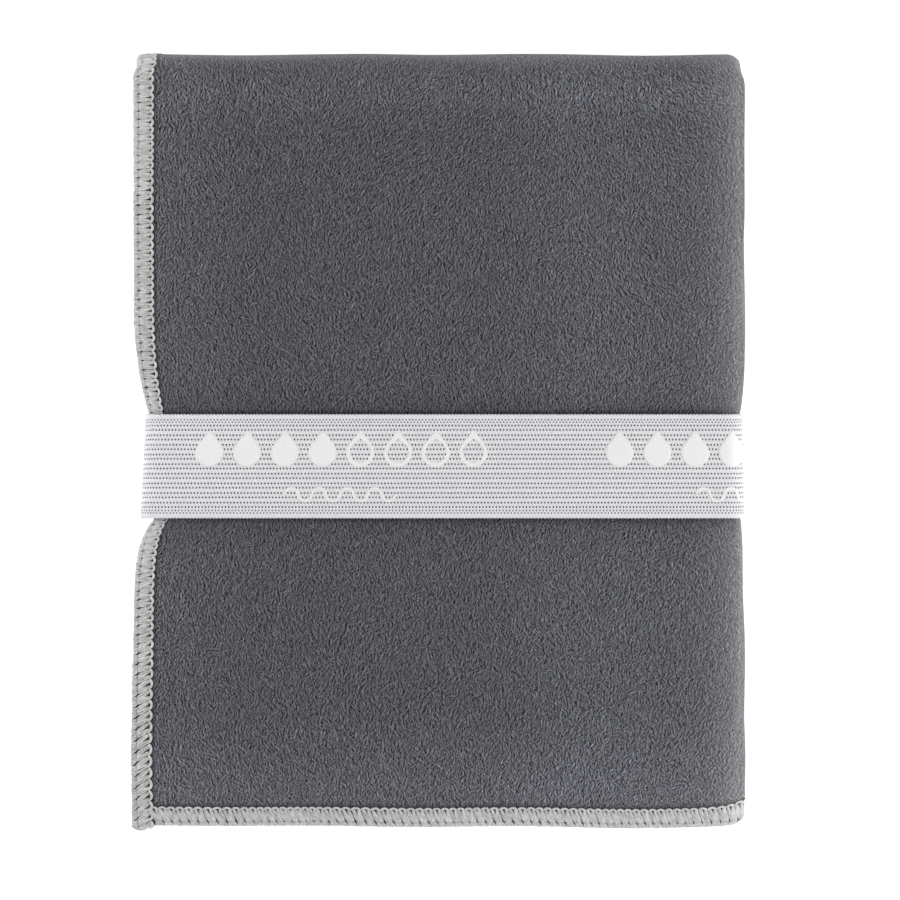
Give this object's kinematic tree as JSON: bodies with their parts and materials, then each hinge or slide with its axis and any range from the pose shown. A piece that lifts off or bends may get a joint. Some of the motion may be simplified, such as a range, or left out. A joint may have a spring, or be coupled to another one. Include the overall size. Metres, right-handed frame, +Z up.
{
  "type": "folded travel towel",
  "caption": "Microfibre quick dry towel folded flat, with overlocked edges, held by a printed elastic band that slides off.",
  "frame": {"origin": "on the surface the pack rests on, under the middle of its outline", "axes": "+Z up out of the top leaf; +Y along the pack towards its doubled fold; +X across it towards its folded side, so the hemmed side edge is at -X and the free hemmed ends are at -Y"},
  "size_m": [0.1766, 0.225, 0.027],
  "materials": {
    "microfibre": "matt suede nap",
    "hem_thread": "satin thread",
    "band_elastic": "woven elastic",
    "band_thread": "satin thread",
    "band_print": "matt ink film"
  },
  "bodies": {
    "towel": {"cloth_back_fold_inner": "microfibre", "cloth_back_fold_middle": "microfibre", "cloth_back_fold_outer": "microfibre", "cloth_base_leaf": "microfibre", "cloth_fifth_leaf": "microfibre", "cloth_fourth_leaf": "microfibre", "cloth_front_fold_inner": "microfibre", "cloth_front_fold_outer": "microfibre", "cloth_second_leaf": "microfibre", "cloth_third_leaf": "microfibre", "cloth_top_leaf_held": "microfibre", "first_side_hem_lower_looper": "hem_thread", "first_side_hem_needle_thread": "hem_thread", "first_side_hem_upper_looper": "hem_thread", "second_end_hem_lower_looper": "hem_thread", "second_end_hem_needle_thread": "hem_thread", "second_end_hem_upper_looper": "hem_thread", "second_side_hem_lower_looper": "hem_thread", "second_side_hem_needle_thread": "hem_thread", "second_side_hem_upper_looper": "hem_thread"},
    "top_leaf": {"cloth_top_leaf_free": "microfibre", "first_side_hem_lower_looper_free": "hem_thread", "first_side_hem_needle_thread_free": "hem_thread", "first_side_hem_upper_looper_free": "hem_thread", "second_side_hem_lower_looper_free": "hem_thread", "second_side_hem_needle_thread_free": "hem_thread", "second_side_hem_upper_looper_free": "hem_thread", "top_end_hem_lower_looper": "hem_thread", "top_end_hem_needle_thread": "hem_thread", "top_end_hem_upper_looper": "hem_thread"},
    "band": {"band_print": "band_print", "band_seam_thread": "band_thread", "band_webbing": "band_elastic"}
  },
  "joints": [
    {"name": "band_slide", "type": "slide", "parent": "towel", "child": "band", "axis": [0, 1, 0], "range_m": [-0.122, 0.136]},
    {"name": "top_leaf_lift", "type": "hinge", "parent": "towel", "child": "top_leaf", "pos_m": [0, -0.035, 0.0256], "axis": [-1, 0, 0], "range_deg": [0, 110]}
  ]
}
